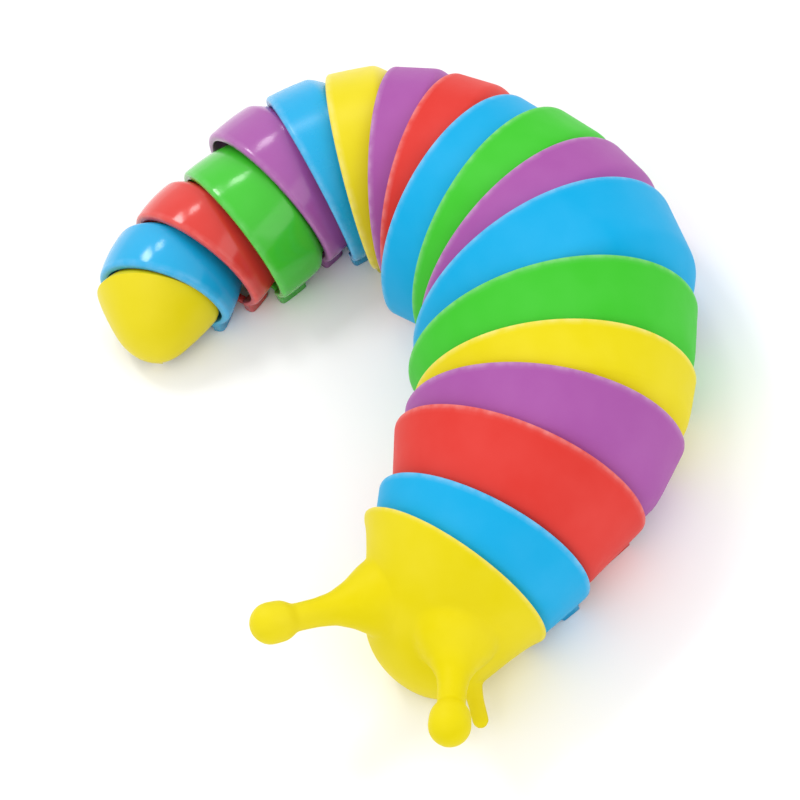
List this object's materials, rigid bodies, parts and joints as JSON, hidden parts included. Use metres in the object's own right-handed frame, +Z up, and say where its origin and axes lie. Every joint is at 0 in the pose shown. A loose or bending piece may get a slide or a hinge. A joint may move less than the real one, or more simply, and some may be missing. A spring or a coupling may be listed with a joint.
{
  "type": "articulated fidget slug",
  "caption": "Articulated toy slug: a head with stalked eyes, nested open-bellied rings and a tail cone, hinged in a chain so the body bends and curls.",
  "frame": {"origin": "centre of the bounding box at rest, on the surface the slug lies on", "axes": "+Z up; the slug lies curled in the XY plane with its head towards -Y"},
  "size_m": [0.0822, 0.1024, 0.0303],
  "materials": {
    "yellow": "smooth moulded plastic",
    "blue": "smooth moulded plastic",
    "red": "smooth moulded plastic",
    "purple": "smooth moulded plastic",
    "green": "smooth moulded plastic",
    "pin": "plain moulded plastic"
  },
  "bodies": {
    "head": {"head": "yellow"},
    "ring_01": {"ring_01": "blue", "hinge_pin_01": "pin"},
    "ring_02": {"ring_02": "red", "hinge_pin_02": "pin"},
    "ring_03": {"ring_03": "purple", "hinge_pin_03": "pin"},
    "ring_04": {"ring_04": "yellow", "hinge_pin_04": "pin"},
    "ring_05": {"ring_05": "green", "hinge_pin_05": "pin"},
    "ring_06": {"ring_06": "blue", "hinge_pin_06": "pin"},
    "ring_07": {"ring_07": "purple", "hinge_pin_07": "pin"},
    "ring_08": {"ring_08": "green", "hinge_pin_08": "pin"},
    "ring_09": {"ring_09": "blue", "hinge_pin_09": "pin"},
    "ring_10": {"ring_10": "red", "hinge_pin_10": "pin"},
    "ring_11": {"ring_11": "purple", "hinge_pin_11": "pin"},
    "ring_12": {"ring_12": "yellow", "hinge_pin_12": "pin"},
    "ring_13": {"ring_13": "blue", "hinge_pin_13": "pin"},
    "ring_14": {"ring_14": "purple", "hinge_pin_14": "pin"},
    "ring_15": {"ring_15": "green", "hinge_pin_15": "pin"},
    "ring_16": {"ring_16": "red", "hinge_pin_16": "pin"},
    "ring_17": {"ring_17": "blue", "hinge_pin_17": "pin", "hinge_pin_18": "pin"},
    "tail": {"tail": "yellow"}
  },
  "joints": [
    {"name": "bend_01", "type": "hinge", "parent": "head", "child": "ring_01", "pos_m": [0.01565, -0.01873, 0], "axis": [0, 0, 1], "range_deg": [-22.6, 7.4]},
    {"name": "bend_02", "type": "hinge", "parent": "ring_01", "child": "ring_02", "pos_m": [0.01965, -0.01011, 0], "axis": [0, 0, 1], "range_deg": [-19.7, 10.3]},
    {"name": "bend_03", "type": "hinge", "parent": "ring_02", "child": "ring_03", "pos_m": [0.02203, -0.00364, 0], "axis": [0, 0, 1], "range_deg": [-28.9, 1.1]},
    {"name": "bend_04", "type": "hinge", "parent": "ring_03", "child": "ring_04", "pos_m": [0.02265, 0.00193, 0], "axis": [0, 0, 1], "range_deg": [-27.5, 2.5]},
    {"name": "bend_05", "type": "hinge", "parent": "ring_04", "child": "ring_05", "pos_m": [0.02184, 0.00939, 0], "axis": [0, 0, 1], "range_deg": [-23.9, 6.1]},
    {"name": "bend_06", "type": "hinge", "parent": "ring_05", "child": "ring_06", "pos_m": [0.01957, 0.01779, 0], "axis": [0, 0, 1], "range_deg": [-33.7, 0.3]},
    {"name": "bend_07", "type": "hinge", "parent": "ring_06", "child": "ring_07", "pos_m": [0.01662, 0.02254, 0], "axis": [0, 0, 1], "range_deg": [-28.8, 3.2]},
    {"name": "bend_08", "type": "hinge", "parent": "ring_07", "child": "ring_08", "pos_m": [0.01213, 0.0271, 0], "axis": [0, 0, 1], "range_deg": [-27, 7]},
    {"name": "bend_09", "type": "hinge", "parent": "ring_08", "child": "ring_09", "pos_m": [0.00699, 0.03075, 0], "axis": [0, 0, 1], "range_deg": [-17.6, 16.4]},
    {"name": "bend_10", "type": "hinge", "parent": "ring_09", "child": "ring_10", "pos_m": [0.00239, 0.03395, 0], "axis": [0, 0, 1], "range_deg": [-32, 2]},
    {"name": "bend_11", "type": "hinge", "parent": "ring_10", "child": "ring_11", "pos_m": [-0.00287, 0.03585, 0], "axis": [0, 0, 1], "range_deg": [-32.2, 1.8]},
    {"name": "bend_12", "type": "hinge", "parent": "ring_11", "child": "ring_12", "pos_m": [-0.00895, 0.03633, 0], "axis": [0, 0, 1], "range_deg": [-33.7, 0.3]},
    {"name": "bend_13", "type": "hinge", "parent": "ring_12", "child": "ring_13", "pos_m": [-0.01453, 0.03514, 0], "axis": [0, 0, 1], "range_deg": [-33.7, 0.3]},
    {"name": "bend_14", "type": "hinge", "parent": "ring_13", "child": "ring_14", "pos_m": [-0.01987, 0.0322, 0], "axis": [0, 0, 1], "range_deg": [-33.7, 0.3]},
    {"name": "bend_15", "type": "hinge", "parent": "ring_14", "child": "ring_15", "pos_m": [-0.02471, 0.02728, 0], "axis": [0, 0, 1], "range_deg": [-11.5, 22.5]},
    {"name": "bend_16", "type": "hinge", "parent": "ring_15", "child": "ring_16", "pos_m": [-0.02931, 0.02342, 0], "axis": [0, 0, 1], "range_deg": [-33.7, 0.3]},
    {"name": "bend_17", "type": "hinge", "parent": "ring_16", "child": "ring_17", "pos_m": [-0.03282, 0.01807, 0], "axis": [0, 0, 1], "range_deg": [-33.7, 0.3]},
    {"name": "bend_18", "type": "hinge", "parent": "ring_17", "child": "tail", "pos_m": [-0.03356, 0.01558, 0], "axis": [0, 0, 1], "range_deg": [-23, 7]}
  ]
}
